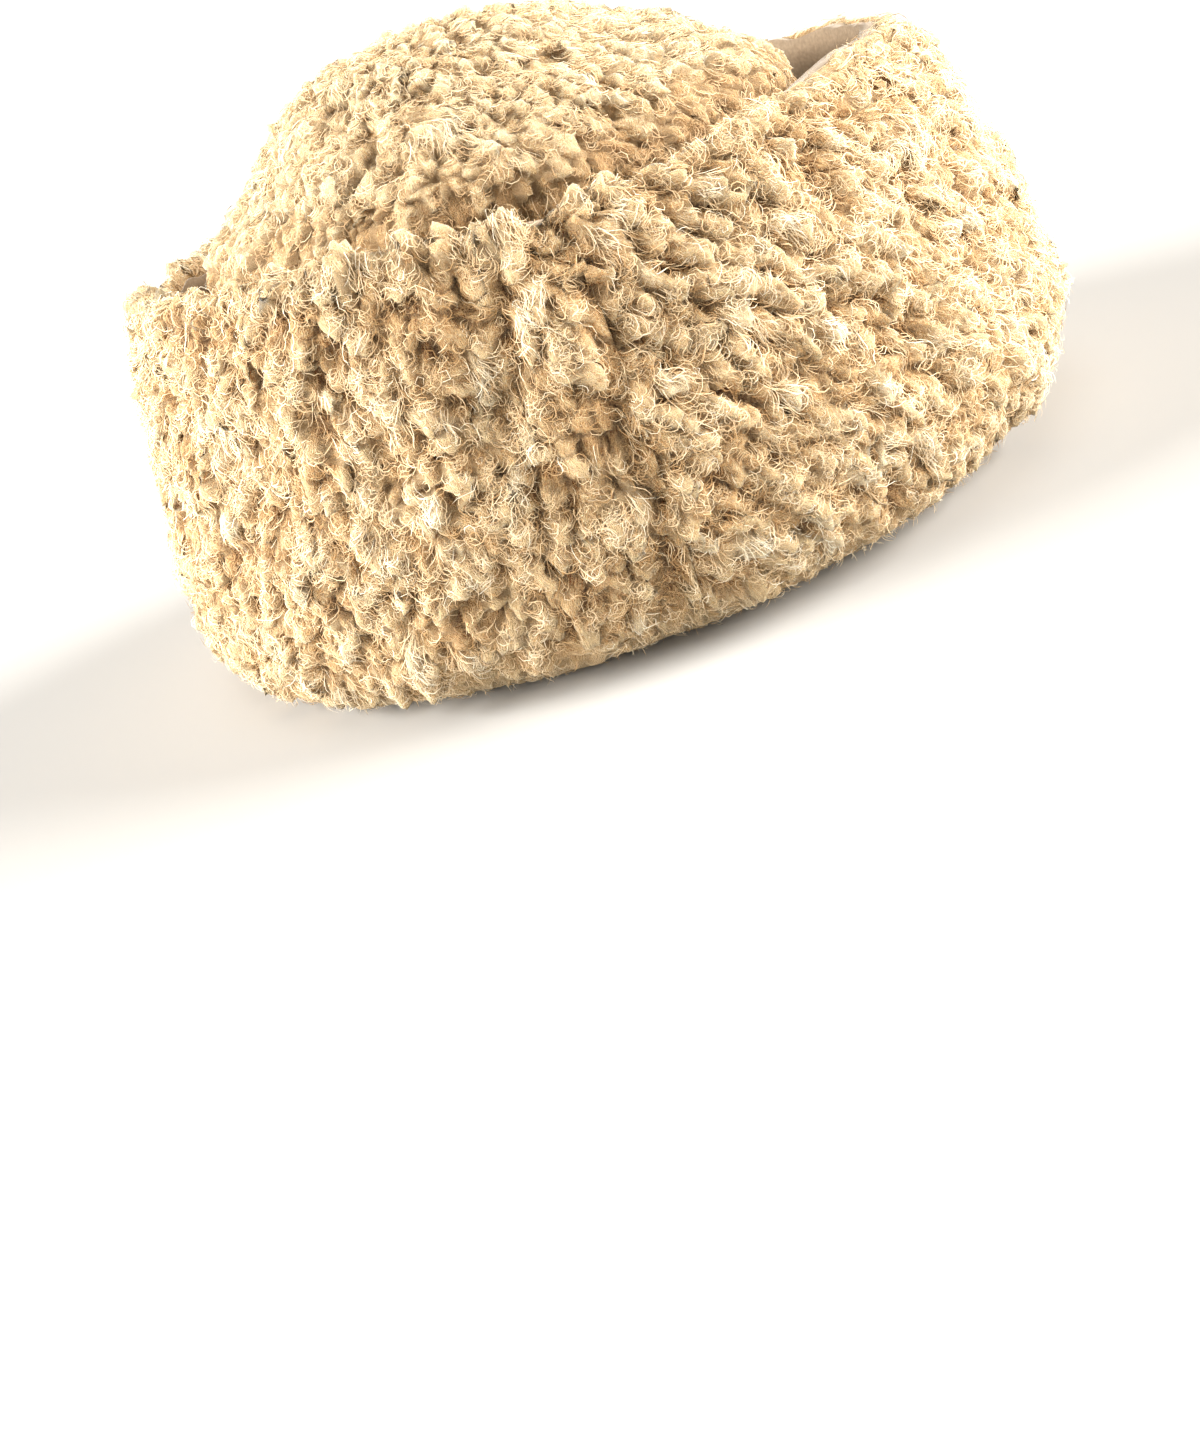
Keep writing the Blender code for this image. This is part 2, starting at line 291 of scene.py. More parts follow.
def curve_through(table, steps=CURVE_STEPS):
    """Rows on a smooth curve through a table's rows."""
    rows = np.array(table, float)
    rows = np.vstack([rows[:1], rows, rows[-1:]])
    t = np.linspace(0, 1, steps, endpoint=False)[:, None]
    made = [
        0.5 * (2 * s + (e - b) * t + (2 * b - 5 * s + 4 * e - a) * t**2
               + (3 * s - b - 3 * e + a) * t**3)
        for b, s, e, a in zip(rows, rows[1:], rows[2:], rows[3:])
    ]
    return np.vstack([*made, rows[-1:]])


def oval(z, half_length, half_width, shift):
    return np.array([z, half_length, half_width, shift])


def inset(ovals, by):
    """The same ovals, smaller all round."""
    return ovals - np.array([0.0, by, by, 0.0])


def evenly(ovals, pitch=None, count=None):
    """Ovals at equal steps along the wall: about one pitch apart, or a given number of steps."""
    step = np.hypot(np.diff(ovals[:, 0]), np.diff(ovals[:, 1]))
    run = np.concatenate([[0.0], np.cumsum(step)])
    places = np.linspace(0, run[-1], (count or max(2, round(run[-1] / pitch))) + 1)
    return np.stack([np.interp(places, run, ovals[:, k]) for k in range(4)], 1)


def at_height(ovals, z):
    return np.array([np.interp(z, ovals[:, 0], ovals[:, k]) for k in range(4)])


def rim_rise(turns):
    """How far the rim lies above CUFF_HEIGHT at each turn."""
    degrees = np.abs((np.degrees(turns) + 180) % 360 - 180)
    starts, rises = np.array(RIM_LINE).T
    k = np.clip(np.searchsorted(starts, degrees, "right") - 1, 0, len(starts) - 2)
    share = (degrees - starts[k]) / (starts[k + 1] - starts[k])
    share = share * share * (3 - 2 * share)
    return CUFF_HEIGHT * (rises[k] + (rises[k + 1] - rises[k]) * share)


def points_on(ovals, turns, with_rim=False):
    """A grid of points: a row for each oval and a column for each turn.

    Turn 0 is the middle of the front, and turns grow towards the wearer's right.
    """
    z, a, b, shift = (ovals[:, k, None] for k in range(4))
    turns = np.broadcast_to(turns, (len(ovals), np.shape(turns)[-1]))
    points = np.stack([-b * np.sin(turns), shift - a * np.cos(turns), z + 0 * turns], 2)
    if with_rim:
        share = np.clip((z / CUFF_HEIGHT - RIM_LINE_FROM) / (1 - RIM_LINE_FROM), 0, 1)
        points[..., 2] += rim_rise(turns) * share * share * (3 - 2 * share)
    return points


head = oval(SEAT_HEIGHT, HEAD_LENGTH / 2, HEAD_WIDTH / 2, HEAD_SHIFT)
face = curve_through(CUFF_FACE)
cuff_curve = np.stack([
    face[:, 0] * CUFF_HEIGHT,
    (HEAD_LENGTH + (LENGTH - HEAD_LENGTH) * face[:, 1]) / 2,
    (HEAD_WIDTH + (WIDTH - HEAD_WIDTH) * face[:, 1]) / 2,
    face[:, 2] * HEAD_SHIFT,
], 1)


def inner_ovals(clearance):
    """The cuff's inner face from under the rim down to the fold, moved in by a clearance."""
    ovals = []
    for height, walls in CUFF_BACK_FACE:
        outer = at_height(cuff_curve, height * CUFF_HEIGHT)
        ovals.append(inset(outer, walls * CUFF_WALL + clearance))
    lowest = ovals[-1][0]
    for height, walls in CUFF_POCKET:
        outer = at_height(cuff_curve, SEAT_HEIGHT + (lowest - SEAT_HEIGHT) * height)
        ovals.append(inset(outer, walls * CUFF_WALL + clearance) + oval(clearance, 0, 0, 0))
    return np.array(ovals)


dome = curve_through(CROWN_FACE)
foot = SEAT_HEIGHT + SEWN_GAP
crown_curve = np.stack([
    foot + (HEIGHT - foot) * dome[:, 0],
    (HEAD_LENGTH / 2 + CROWN_WALL) * dome[:, 1],
    (HEAD_WIDTH / 2 + CROWN_WALL) * dome[:, 1] ** CROWN_FULLNESS,
    dome[:, 2] * HEAD_SHIFT,
], 1)
print("ovals on the cuff's face and the crown:", len(cuff_curve), len(crown_curve))

# %% [markdown]
# ## Locks on a surface
#
# A lock is a small woolly lump, longer than it is wide, that leans one way. They could be placed
# by hand or by a texture, but a texture can't make one lock overhang the next. So each lock gets
# a place, a size and a direction, and every point of the surface asks which lock covers it most.
# Places are drawn at random, and a place too near an earlier one is dropped, so the locks are
# spread evenly without standing in lines.

# %% Locks
GRID = 0.00115
LOCK_SPACING = 0.0053
STRAND_STRETCH = 6.0
LOCK_HEIGHT = 0.0048
LOCK_DROP = 0.0042
LOCK_LEAN = 0.70
random = np.random.default_rng(7)


def unit(vectors):
    return vectors / np.maximum(np.linalg.norm(vectors, axis=-1, keepdims=True), 1e-12)


def grid_axes(points, closed):
    """Directions along a row, down a column and out of the surface, at each grid point."""
    if closed:
        along = np.roll(points, -1, 1) - np.roll(points, 1, 1)
    else:
        along = np.gradient(points, axis=1)
    rise = np.gradient(points, axis=0)
    out = unit(np.cross(along, rise))
    middle = points.reshape(-1, 3).mean(0)
    if ((points - middle) * out).sum() < 0:
        out = -out
    return unit(along), -unit(rise), out


def spread_places(points, spacing, closed):
    """Grid cells at random places that are at least about a spacing apart."""
    rows, columns = points.shape[:2]
    side = np.linalg.norm(np.diff(points, axis=1)[:-1], axis=2)
    height = np.linalg.norm(np.diff(points, axis=0)[:, :-1], axis=2)
    area = side * height
    tries = int(area.sum() / spacing**2 * 7)
    cells = random.choice(area.size, tries, p=area.ravel() / area.sum())
    r, c = np.unravel_index(cells, area.shape)
    places = points[r, c]
    size = spacing * random.uniform(0.80, 1.20, tries)
    kept = []
    held = np.empty((0, 3))
    for k in range(tries):
        if len(kept) == 0 or ((held - places[k]) ** 2).sum(1).min() > size[k] ** 2:
            kept.append(k)
            held = places[kept]
    return r[kept], c[kept]


def wave_noise(points, size, seed, waves=24):
    """Smooth random values about 0, from waves in many directions."""
    draw = np.random.default_rng(seed)
    ways = unit(draw.normal(size=(waves, 3))) * (2 * math.pi / size)
    ways *= draw.uniform(0.6, 1.5, (waves, 1))
    phases = draw.uniform(0, 2 * math.pi, waves)
    return np.sin(points @ ways.T + phases).sum(-1) / math.sqrt(waves / 2)


def raise_locks(points, closed, lean_ways, height_share, spacing, stretch):
    """The surface with its locks: new points, and four kinds of numbers for the material.

    They are how high each point is and how much painted highlight it gets, from 0 to 1, and
    where it lies in its lock, measured across and along it (much shortened along, so that a noise
    there makes strands).
    lean_ways gives the direction of the locks, and height_share is 0 where no locks stand.
    """
    along, down, out = grid_axes(points, closed)
    r, c = spread_places(points, spacing, closed)
    count = len(r)
    centres = points[r, c]
    turn = random.normal(0, math.radians(24), count)
    way = unit(lean_ways[r, c])
    side = unit(np.cross(out[r, c], way))
    way, side = (
        way * np.cos(turn)[:, None] + side * np.sin(turn)[:, None],
        side * np.cos(turn)[:, None] - way * np.sin(turn)[:, None],
    )
    half_width = spacing * random.uniform(0.48, 0.66, count)
    half_length = half_width * stretch * random.uniform(0.8, 1.3, count)
    tall = random.uniform(0.55, 1.15, count) * height_share[r, c]
    # a few locks, drawn at random, get a painted highlight on their tops
    glint_draw = random.uniform(0, 1, count)

    tree = kdtree.KDTree(count)
    for k, place in enumerate(centres):
        tree.insert(place, k)
    tree.balance()
    near = np.array([
        [found[1] for found in tree.find_n(point, 9)] for point in points.reshape(-1, 3)
    ]).reshape(*points.shape[:2], 9)

    warp = np.stack([wave_noise(points, 0.0055, seed) for seed in (41, 42, 43)], 2) * 0.0008
    away = (points + warp)[:, :, None, :] - centres[near]
    ahead = (away * way[near]).sum(-1) / half_length[near]
    aside = (away * side[near]).sum(-1) / half_width[near]
    rising = np.sin(np.clip((ahead + 1) / 1.35, 0, 1) * math.pi / 2)
    ending = np.sqrt(1 - (1 - np.clip((1 - ahead) / 0.65, 0, 1)) ** 2)
    heights = rising * ending * np.sqrt(np.clip(1 - aside**2, 0, 1)) * tall[near]
    best = heights.argmax(2)
    height = np.take_along_axis(heights, best[..., None], 2)[..., 0]
    owner = np.take_along_axis(near, best[..., None], 2)[..., 0]
    away = points - centres[owner]
    strand = np.stack([
        (away * side[owner]).sum(-1), (away * way[owner]).sum(-1) / STRAND_STRETCH, owner * 0.003
    ], 2)

    crumb = wave_noise(points, 0.0050, 11) * 0.00045 + wave_noise(points, 0.0030, 12) * 0.00030
    swell = wave_noise(points, 0.034, 13) * 0.0009
    high = height * LOCK_HEIGHT
    raised = high + (crumb + swell) * np.minimum(1, height_share + 0.15)
    raised -= LOCK_DROP * height_share
    new_points = points + out * raised[..., None]
    new_points += way[owner] * (high * LOCK_LEAN)[..., None]
    new_points -= unit(lean_ways) * (height_share * LOCK_HEIGHT * LOCK_LEAN / 2)[..., None]
    new_points[..., 2] = np.maximum(new_points[..., 2], 0.0003)
    tip = np.clip(height, 0, 1.2) ** 1.6
    return new_points, tip, np.clip((glint_draw[owner] - 0.80) / 0.12, 0, 1), strand


# %% [markdown]
# ## From grid to mesh
#
# Blender can build a mesh from arrays in one go, which is much faster than adding faces one by
# one. Numbers for the material are stored on the mesh's points as attributes.

# %% Meshes from arrays
WALL_SHARE = 0.55


def mesh_from(name, points, faces, material, numbers=None, smooth=True):
    """A mesh object. faces is an array of quads, or a list of faces of any size."""
    mesh = bpy.data.meshes.new(name)
    if isinstance(faces, np.ndarray):
        mesh.vertices.add(len(points))
        mesh.vertices.foreach_set("co", np.ascontiguousarray(points, np.float32).ravel())
        mesh.loops.add(faces.size)
        mesh.loops.foreach_set("vertex_index", faces.ravel().astype(np.int32))
        mesh.polygons.add(len(faces))
        starts = np.arange(len(faces), dtype=np.int32) * faces.shape[1]
        mesh.polygons.foreach_set("loop_start", starts)
    else:
        mesh.from_pydata([tuple(p) for p in points], [], faces)
    mesh.update(calc_edges=True)
    for key, values in (numbers or {}).items():
        is_vector = np.ndim(values) == 3 and np.shape(values)[-1] == 3
        layer = mesh.attributes.new(key, "FLOAT_VECTOR" if is_vector else "FLOAT", "POINT")
        numbers_of = np.ascontiguousarray(values, np.float32).ravel()
        layer.data.foreach_set("vector" if is_vector else "value", numbers_of)
    mesh.polygons.foreach_set("use_smooth", np.full(len(mesh.polygons), smooth))
    mesh.materials.append(material)
    item = bpy.data.objects.new(name, mesh)
    bpy.context.scene.collection.objects.link(item)
    return item


def soften_normals(piece, first, out):
    """Turn the locks' normals halfway to those of the smooth wall below, out.

    Light goes deep into pile and comes out again beside, which evens out its small shadows.
    """
    mesh = piece.data
    normals = np.empty((len(mesh.vertices), 3), np.float32)
    mesh.vertex_normals.foreach_get("vector", normals.ravel())
    patch = slice(first, first + out[..., 0].size)
    wall = out.reshape(-1, 3)
    wall = wall * np.sign((normals[patch] * wall).sum(-1).mean())
    normals[patch] = unit(normals[patch] * (1 - WALL_SHARE) + wall * WALL_SHARE)
    mesh.normals_split_custom_set_from_vertices(normals)


def loft_faces(rows, columns, row_loop, column_loop):
    """Quads between neighbouring rows of points."""
    r, c = np.meshgrid(
        np.arange(rows if row_loop else rows - 1),
        np.arange(columns if column_loop else columns - 1),
        indexing="ij",
    )
    r2, c2 = (r + 1) % rows, (c + 1) % columns
    corners = [r * columns + c, r * columns + c2, r2 * columns + c2, r2 * columns + c]
    return np.stack(corners, 2).reshape(-1, 4)


# %% [markdown]
# ## The two halves of the cuff
#
# Each half is a closed wall: the fold below, the outer face with its locks, the rim, and the
# plain inner face that the facing covers. The pile gets short along the fold, and it dips into a
# valley at each side seam, which gets painted shade. A band below the rim gets a painted
# highlight. In front, the locks lean down and forwards. Behind they hang down.

# %% Cuff
SEAM_DEPTH = 0.0028
SEAM_WIDTH = 0.0042
SEAM_OVERLAP = 0.0006
# where the seam's valley wanders: height, and how far behind the middle
SEAM_LINE = (
    (0.000, 0.007), (0.012, 0.007), (0.034, 0.003), (0.049, 0.002), (0.067, 0.005),
    (0.074, 0.003), (0.090, -0.003), (0.107, 0.006), (0.120, 0.004),
)
SHORT_PILE_TO = 0.012
FACING_ROLLS_TO = 92
FRONT_TO = 55
RIM_FADE = 0.004
BARE_RIM = 0.0055
BARE_FRONT = 0.0045
CUFF_STRETCH = 2.0
# the band of loose fibres below the rim: how far from the inner face's end, and how wide
FRINGE_FROM_END = 0.0110
FRINGE_WIDTH = 0.0040
FRINGE_LOWERS = 0.60
# painted highlight: the band of pile below the rim is made lighter, where the rim's top catches
# the light
FRINGE_HIGHLIGHT = 0.55
# painted shade in the seam's valley
SEAM_SHADE = 0.7
FOLD_LIGHTENS = 0.8


def round_front(turns, to_degrees):
    """1 round the front, up to so many degrees from its middle, and smoothly 0 beyond."""
    degrees = np.abs((np.degrees(turns) + 180) % 360 - 180)
    share = np.clip((to_degrees - degrees) / 16, 0, 1)
    return share * share * (3 - 2 * share)


def toward_front(points, along):
    """The direction along a row that leads to the front, on either side of the hat."""
    return along * np.where(points[..., :1] < 0, -1.0, 1.0)


def cuff_half(name, node, is_front, lean_degrees):
    fold = np.array([head, head * [0, 1, 1, 1] + [EDGE_ROUND, 0, 0, 0]])
    middle = (1 - math.sqrt(0.5)) * EDGE_ROUND
    low = inset(head, -middle)
    low[0] = middle
    lowest = inset(head, -EDGE_ROUND)
    lowest[0] = 0
    fold = np.vstack([fold, low, lowest])
    over_rim = np.vstack([cuff_curve[-CURVE_STEPS // 2:], inner_ovals(0.0)[:2]])
    over_rim = curve_through(over_rim[[0, -3, -2, -1]], 8)
    outer = evenly(np.vstack([cuff_curve[:-CURVE_STEPS // 2], over_rim]), GRID)
    inner = evenly(inner_ovals(0.0)[1:], GRID * 8)[1:]
    columns = round(math.pi * (LENGTH + WIDTH) / 4 / GRID)
    share = np.linspace(0, 1, columns + 1)

    def turns_of(ovals):
        ends = np.arccos(np.clip((ovals[:, 3] + SEWN_GAP / 2) / ovals[:, 1], -1, 1))
        if is_front:
            return ends[:, None] * (2 * share - 1)
        ends = np.arccos(np.clip((ovals[:, 3] - SEWN_GAP / 2) / ovals[:, 1], -1, 1))
        return ends[:, None] + (2 * math.pi - 2 * ends[:, None]) * share

    face_points = points_on(outer, turns_of(outer), True)
    along, down, out = grid_axes(face_points, False)
    lean = math.radians(lean_degrees)
    ways = down * math.cos(lean) + toward_front(face_points, along) * math.sin(lean)
    height = face_points[..., 2]
    short = np.clip((height - 0.002) / SHORT_PILE_TO, 0, 1)
    to_end = (len(outer) - 1 - np.arange(len(outer)))[:, None] * GRID
    turns = turns_of(outer)
    bare = BARE_RIM * round_front(turns, FACING_ROLLS_TO)
    bare = bare + BARE_FRONT * round_front(turns, FRONT_TO)
    rim = np.clip((to_end - bare) / RIM_FADE, 0, 1)
    fringe = np.exp(-(((to_end - FRINGE_FROM_END) / FRINGE_WIDTH) ** 2)) + 0 * height
    height_share = short**1.5 * rim * (1 - FRINGE_LOWERS * fringe)
    locks, tip, glint, strand = raise_locks(
        face_points, False, ways, height_share, LOCK_SPACING, CUFF_STRETCH
    )

    to_seam = face_points[..., 1] - np.interp(height, *np.array(SEAM_LINE).T)
    valley = np.exp(-((to_seam / SEAM_WIDTH) ** 2))
    locks -= out * (valley * SEAM_DEPTH * short)[..., None]
    # painted shade: the pile is darker in the seam's valley
    tip = tip * (1 - SEAM_SHADE * valley * short) + (1 - short) * FOLD_LIGHTENS
    # painted highlight along the band below the rim
    tip = tip + fringe * FRINGE_HIGHLIGHT
    locks[0], locks[-1] = face_points[0], face_points[-1]
    end = SEAM_OVERLAP * (1 if is_front else -1)
    beyond = (locks[..., 1] - end) * (1 if is_front else -1) > 0
    locks[..., 1] = np.where(beyond, end, locks[..., 1])
    locks[:, 0, 1] = locks[:, -1, 1] = end

    fold_points = points_on(fold, turns_of(fold))
    inner_points = points_on(inner, turns_of(inner), True)
    grid = np.concatenate([fold_points, locks, inner_points])
    tips = np.concatenate([
        np.full(fold_points.shape[:2], 0.9), tip, np.full(inner_points.shape[:2], 0.5)
    ])
    glints = np.concatenate([0 * fold_points[..., 0], glint, 0 * inner_points[..., 0]])
    all_strands = np.concatenate([fold_points, strand, inner_points])
    rows = len(grid)
    faces = loft_faces(rows, columns + 1, True, False).tolist()
    first = [r * (columns + 1) for r in range(rows)]
    faces += [first[::-1], [k + columns for k in first]]
    piece = mesh_from(name, grid.reshape(-1, 3), faces, cuff_cloth,
                      {"tip": tips, "glint": glints, "strand": all_strands})
    soften_normals(piece, fold_points[..., 0].size, out)
    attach(piece, "root")
    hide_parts(node)
    print(name, "faces:", len(piece.data.polygons), "highest:", round(grid[..., 2].max(), 4))
    return {"points": locks, "out": out, "ways": ways, "tip": tip, "glint": glint,
            "closed": False, "short": short * (0.3 + 0.7 * rim), "fringe": fringe}


front_face = cuff_half("cuff_front_pile", "cuff_front", True, 38)
back_face = cuff_half("cuff_back_pile", "cuff_back", False, 6)

# %% [markdown]
# ## The crown
#
# The crown is a dome of the same cloth with finer, softer locks that spread from its top. Only
# the part above the cuff needs a dense surface: the wall below stays coarse, because the cuff
# covers it.

# %% Crown
CROWN_PILE_FROM = 0.072
CROWN_GRID = 0.0013
CROWN_LOCK_HEIGHT = 0.75
CROWN_LOCK_SPACING = 0.0050
CROWN_STRETCH = 1.7
# painted shade: the crown's pile gets darker from this height down, over so many metres, where the
# cuff's rim shades it
CROWN_SHADE_BELOW = 0.130
CROWN_SHADE_OVER = 0.018
CROWN_SHADE = 0.75


def crown():
    columns = round(2 * math.pi * 0.074 / CROWN_GRID)
    turns = np.linspace(0, 2 * math.pi, columns, endpoint=False)
    top = evenly(crown_curve[crown_curve[:, 0] >= CROWN_PILE_FROM], CROWN_GRID)
    wall = evenly(crown_curve[crown_curve[:, 0] <= CROWN_PILE_FROM], GRID * 10)[:-1]
    face_points = points_on(top, turns)
    along, down, out = grid_axes(face_points, True)
    share = np.clip((face_points[..., 2] - CROWN_PILE_FROM) / 0.010, 0, 1)
    locks, tip, glint, strand = raise_locks(
        face_points, True, down, share * CROWN_LOCK_HEIGHT, CROWN_LOCK_SPACING, CROWN_STRETCH
    )
    # painted shade on the crown's lower part, next to the cuff's rim
    tip = tip - CROWN_SHADE * np.clip((CROWN_SHADE_BELOW - face_points[..., 2]) / CROWN_SHADE_OVER, 0, 1)
    inner = inset(evenly(crown_curve, GRID * 8), CROWN_WALL)[::-1]
    inner = inner[inner[:, 1] > 0.008]
    inner[:, 0] = np.minimum(inner[:, 0], HEIGHT - CROWN_WALL)
    lift = np.interp(inner[:, 0], [0.11, HEIGHT - CROWN_WALL], [0, 0.004])
    inner[:, 0] = np.maximum(inner[:, 0] - lift, foot)
    grid = np.concatenate([points_on(wall, turns), locks, points_on(inner, turns)])
    tips = np.concatenate([
        np.full((len(wall), columns), 0.5), tip, np.full((len(inner), columns), 0.6)
    ])
    glints = np.concatenate([
        np.zeros((len(wall), columns)), glint, np.zeros((len(inner), columns))
    ])
    all_strands = np.concatenate([
        points_on(wall, turns), strand, points_on(inner, turns)
    ])
    rows = len(grid)
    outer_rows = len(wall) + len(locks)
    faces = loft_faces(outer_rows, columns, False, True).tolist()
    faces += (loft_faces(len(inner), columns, False, True) + outer_rows * columns).tolist()
    bottom = (rows - 1) * columns
    for k in range(columns):
        n = (k + 1) % columns
        faces.append([bottom + k, bottom + n, n, k])
    ring = (outer_rows - 1) * columns
    faces.append([ring + k for k in range(columns)])
    faces.append([outer_rows * columns + k for k in reversed(range(columns))])
    piece = mesh_from("crown_pile", grid.reshape(-1, 3), faces, crown_cloth,
                      {"tip": tips, "glint": glints, "strand": all_strands})
    soften_normals(piece, len(wall) * columns, out)
    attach(piece, "root")
    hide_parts("crown")
    print("crown faces:", len(piece.data.polygons), "highest:", round(grid[..., 2].max(), 4))
    return {"points": locks, "out": out, "ways": down, "tip": tip, "glint": glint,
            "closed": True, "short": share}


crown_face = crown()

# %% [markdown]
# ## Fibres
#
# What makes pile look soft is its fibres. Hair curves would be the usual way, but a model that
# leaves Blender needs meshes, so each fibre is a thin ribbon. Its path is a curly line drawn on
# the surface, lifted a little in the middle so that it arches over the lock below. All paths are
# worked out together as arrays, a row for each fibre.

# %% Fibres
FIBRE_POINTS = 5
BUNCH = 4
BUNCH_SPREAD = 0.0009


def blurred(grid, closed, times):
    """The grid with its small steps smoothed out."""
    for _ in range(times):
        if closed:
            grid = (grid + np.roll(grid, 1, 1) + np.roll(grid, -1, 1)) / 3
        else:
            middle = (grid[:, :-2] + grid[:, 1:-1] + grid[:, 2:]) / 3
            grid = np.concatenate([grid[:, :1], middle, grid[:, -1:]], 1)
        grid = np.concatenate([grid[:1], (grid[:-2] + grid[1:-1] + grid[2:]) / 3, grid[-1:]])
    return grid


def read(grid, r, c, closed):
    """Values of a grid between its points."""
    rows, columns = grid.shape[:2]
    r = np.clip(r, 0, rows - 1.001)
    c = c % columns if closed else np.clip(c, 0, columns - 1.001)
    r0, c0 = r.astype(int), c.astype(int)
    c1 = (c0 + 1) % columns
    fr, fc = r - r0, c - c0
    if grid.ndim == 3:
        fr, fc = fr[..., None], fc[..., None]
    return (
        grid[r0, c0] * (1 - fr) * (1 - fc) + grid[r0 + 1, c0] * fr * (1 - fc)
        + grid[r0, c1] * (1 - fr) * fc + grid[r0 + 1, c1] * fr * fc
    )


def fibres(name, face, count, length, radius, width, lift, loose, material, seed):
    """Curly ribbons all over a pile face, joined in one mesh.

    length, radius and lift are (least, most) in metres, and loose is the share of fibres whose
    end stands away from the pile.
    """
    draw = np.random.default_rng(seed)
    closed = face["closed"]
    rough = face["points"]
    points = blurred(rough, closed, 2)
    if closed:
        along = np.roll(points, -1, 1) - points
    else:
        along = np.diff(points, axis=1, append=points[:, -1:] * 2 - points[:, -2:-1])
    rise = np.diff(points, axis=0, append=points[-1:] * 2 - points[-2:-1])
    out = unit(np.cross(along, rise))
    out *= np.sign((out * face["out"]).sum(-1, keepdims=True).mean())
    across = np.linalg.norm(along, axis=2)
    upward = np.linalg.norm(rise, axis=2)

    on_locks = 0.25 + np.clip(face["tip"], 0, 1)
    area = (across * upward * (0.15 + face["short"]) * on_locks)[:-1, :-1]
    bunches = count // BUNCH
    cells = draw.choice(area.size, bunches, p=area.ravel() / area.sum())
    r, c = (k + draw.random(bunches) for k in np.unravel_index(cells, area.shape))

    # brushed locks have straighter, combed fibres, and these get a painted highlight
    brushed_glint = read(face["glint"], r, c, closed) > 0.5
    turn = draw.uniform(0, 2 * math.pi, bunches)
    ways = read(face["ways"], r, c, closed)
    along_here = unit(read(along, r, c, closed))
    rise_here = unit(read(rise, r, c, closed))
    lean = np.arctan2((ways * rise_here).sum(-1), (ways * along_here).sum(-1))
    turn = np.where(draw.random(bunches) < 0.55, lean + draw.normal(0, 0.5, bunches), turn)
    turn = np.where(brushed_glint, lean + draw.normal(0, 0.22, bunches), turn)
    bend = draw.choice([-1.0, 1.0], bunches) / draw.uniform(*radius, bunches)
    bend = np.where(brushed_glint, bend * 0.2, bend)

    # every fibre starts near its bunch's place and nearly copies its way and bend
    bunch = np.arange(count) % bunches
    r, c, brushed_glint = r[bunch], c[bunch], brushed_glint[bunch]
    turn = turn[bunch] + draw.normal(0, 0.28, count)
    bend = bend[bunch] * draw.uniform(0.8, 1.2, count)
    apart_r, apart_c = draw.normal(0, BUNCH_SPREAD, (2, count))
    r, c = r + apart_r / read(upward, r, c, closed), c + apart_c / read(across, r, c, closed)
    short = read(face["short"], r, c, closed)
    long = draw.uniform(*length, count) * (0.35 + 0.65 * short)
    step = long / (FIBRE_POINTS - 1)
    arch = draw.uniform(*lift, count) * (0.4 + 0.6 * short)
    stands = (draw.random(count) < loose) * draw.uniform(0.5, 1.6, count) * lift[1]

    places = []
    for k in range(FIBRE_POINTS):
        share = k / (FIBRE_POINTS - 1)
        base = read(points, r, c, closed)
        normal = unit(read(out, r, c, closed))
        off = 0.0002 + arch * math.sin(math.pi * share) + stands * share**2
        places.append((base + normal * off[:, None], normal, read(face["tip"], r, c, closed),
                       read(face["out"], r, c, closed)))
        c = c + np.cos(turn) * step / np.maximum(read(across, r, c, closed), GRID * 0.25)
        r = r + np.sin(turn) * step / np.maximum(read(upward, r, c, closed), GRID * 0.25)
        turn = turn + bend * step + draw.normal(0, 0.10, count)
        bend = np.where((draw.random(bunches) < 0.12)[bunch], -bend, bend)
    path = np.stack([p[0] for p in places], 1)
    path[..., 2] = np.maximum(path[..., 2], 0.0004)
    normal = np.stack([p[1] for p in places], 1)
    height = np.stack([p[2] for p in places], 1)
    wall = np.stack([p[3] for p in places], 1)

    tangent = unit(np.gradient(path, axis=1))
    flat = unit(np.cross(tangent, normal))
    twist = draw.normal(0, 0.6, count)[:, None, None]
    flat = flat * np.cos(twist) + np.cross(tangent, flat) * np.sin(twist)
    taper = np.interp(np.linspace(0, 1, FIBRE_POINTS), [0, 0.2, 0.8, 1], [0.5, 1, 1, 0.35])
    half = width / 2 * draw.uniform(0.7, 1.3, (count, 1)) * taper
    edge = flat * half[..., None]
    strip = np.stack([path - edge, path + edge], 2).reshape(-1, 3)
    # painted shade: a fibre is darker where it lies over the hollows; brushed locks get a painted
    # highlight; the noise is the fibres' own random tone
    shade = 0.10 + 0.62 * height + draw.normal(0, 0.22, (count, 1))
    shade = shade + np.where(brushed_glint, 0.18, 0.0)[:, None] + np.where(stands > 0, 0.1, 0)[:, None]

    k = np.arange(FIBRE_POINTS - 1) * 2
    quad = np.stack([k, k + 1, k + 3, k + 2], 1)
    quads = (quad[None] + np.arange(count)[:, None, None] * 2 * FIBRE_POINTS).reshape(-1, 4)
    piece = mesh_from(name, strip, quads, material, {"shade": np.repeat(shade.ravel(), 2)})
    ribbon = np.cross(flat, tangent)
    ribbon *= np.sign((ribbon * normal).sum(-1, keepdims=True))
    soft = normal * (1 - WALL_SHARE) + wall * WALL_SHARE
    soft = unit(soft + 0.3 * ribbon + 0.15 * draw.normal(size=(count, 1, 3)))
    piece.data.normals_split_custom_set_from_vertices(np.repeat(soft.reshape(-1, 3), 2, 0))
    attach(piece, "root")
    print(name, "fibres:", count, "triangles:", 2 * len(piece.data.polygons))
    return piece


